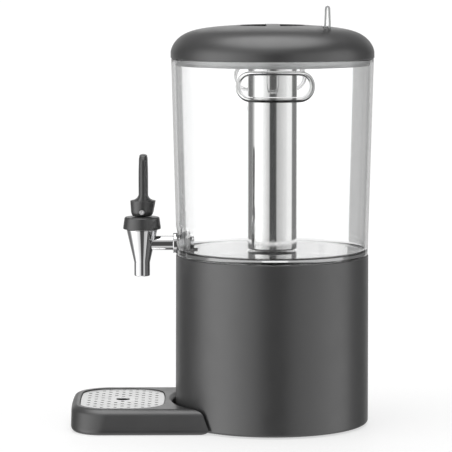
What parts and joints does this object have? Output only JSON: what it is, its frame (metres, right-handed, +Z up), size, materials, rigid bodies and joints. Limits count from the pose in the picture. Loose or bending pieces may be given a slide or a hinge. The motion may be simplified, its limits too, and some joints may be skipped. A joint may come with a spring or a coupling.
{
  "type": "cold drink dispenser",
  "caption": "Counter-top drink dispenser: clear container on a round black stand, domed lid with a steel ice tube, lever tap over a drip tray with a perforated grid.",
  "frame": {"origin": "on the table, below the centre of the object's bounding box", "axes": "+Z up; the tap and the drip tray point to -Y, the user's side; the label holder is at the back, +Y; +X to the right of a user who faces the tap"},
  "size_m": [0.2092, 0.3124, 0.4333],
  "materials": {
    "black_plastic": "satin black moulded plastic with a very fine grain",
    "clear_plastic": "clear glossy moulded plastic",
    "steel": "satin stainless steel",
    "polished_steel": "polished stainless steel tube",
    "chrome": "mirror polished",
    "black_rubber": "matt black rubber",
    "silicone": "milky translucent silicone"
  },
  "bodies": {
    "stand": {"stand_shell": "black_plastic", "stand_base_plate": "black_plastic", "foot_1": "black_rubber", "foot_2": "black_rubber", "foot_3": "black_rubber", "foot_4": "black_rubber", "base_screw_1": "steel", "base_screw_2": "steel", "base_screw_3": "steel", "base_screw_4": "steel"},
    "container": {"container": "clear_plastic", "tap_body": "chrome", "tap_collar": "chrome", "tap_outer_gasket": "silicone", "tap_inner_gasket": "silicone", "tap_nut": "chrome", "tap_bonnet": "black_plastic"},
    "tap_stem": {"tap_stem": "steel", "tap_seat_cup": "black_rubber", "tap_spring": "steel"},
    "tap_handle": {"tap_handle": "black_plastic", "tap_pin": "steel"},
    "lid": {"lid": "black_plastic", "lid_seal": "silicone"},
    "ice_tube": {"ice_tube": "polished_steel", "tube_seal": "silicone"},
    "ice_cap": {"ice_cap": "black_plastic"},
    "label_holder": {"label_holder": "clear_plastic"},
    "drip_tray": {"drip_tray": "black_plastic"},
    "drip_grid": {"drip_grid": "steel"}
  },
  "joints": [
    {"name": "container_lift", "type": "slide", "parent": "stand", "child": "container", "axis": [0, 0, 1], "range_m": [0, 0.03]},
    {"name": "lid_lift", "type": "slide", "parent": "container", "child": "lid", "axis": [0, 0, 1], "range_m": [0, 0.21]},
    {"name": "ice_tube_lift", "type": "slide", "parent": "lid", "child": "ice_tube", "axis": [0, 0, 1], "range_m": [0, 0.235]},
    {"name": "ice_cap_lift", "type": "slide", "parent": "ice_tube", "child": "ice_cap", "axis": [0, 0, 1], "range_m": [0, 0.03]},
    {"name": "label_holder_lift", "type": "slide", "parent": "lid", "child": "label_holder", "axis": [0, 0, 1], "range_m": [0, 0.03]},
    {"name": "stem_lift", "type": "slide", "parent": "container", "child": "tap_stem", "axis": [0, 0, 1], "range_m": [0, 0.00363], "stiffness_N_per_m": 800, "springref_m": -0.005, "deforming": ["tap_spring"]},
    {"name": "handle_tilt", "type": "hinge", "parent": "tap_stem", "child": "tap_handle", "pos_m": [0, -0.08286, 0.2205], "axis": [1, 0, 0], "range_deg": [0, 32]},
    {"name": "drip_tray_slide", "type": "slide", "parent": "stand", "child": "drip_tray", "axis": [0, -1, 0], "range_m": [0, 0.08]},
    {"name": "drip_grid_lift", "type": "slide", "parent": "drip_tray", "child": "drip_grid", "axis": [0, 0, 1], "range_m": [0, 0.03]}
  ],
  "couplings": [
    {"joint": "handle_tilt", "follows": "stem_lift", "rad_per_m": 153.85}
  ]
}
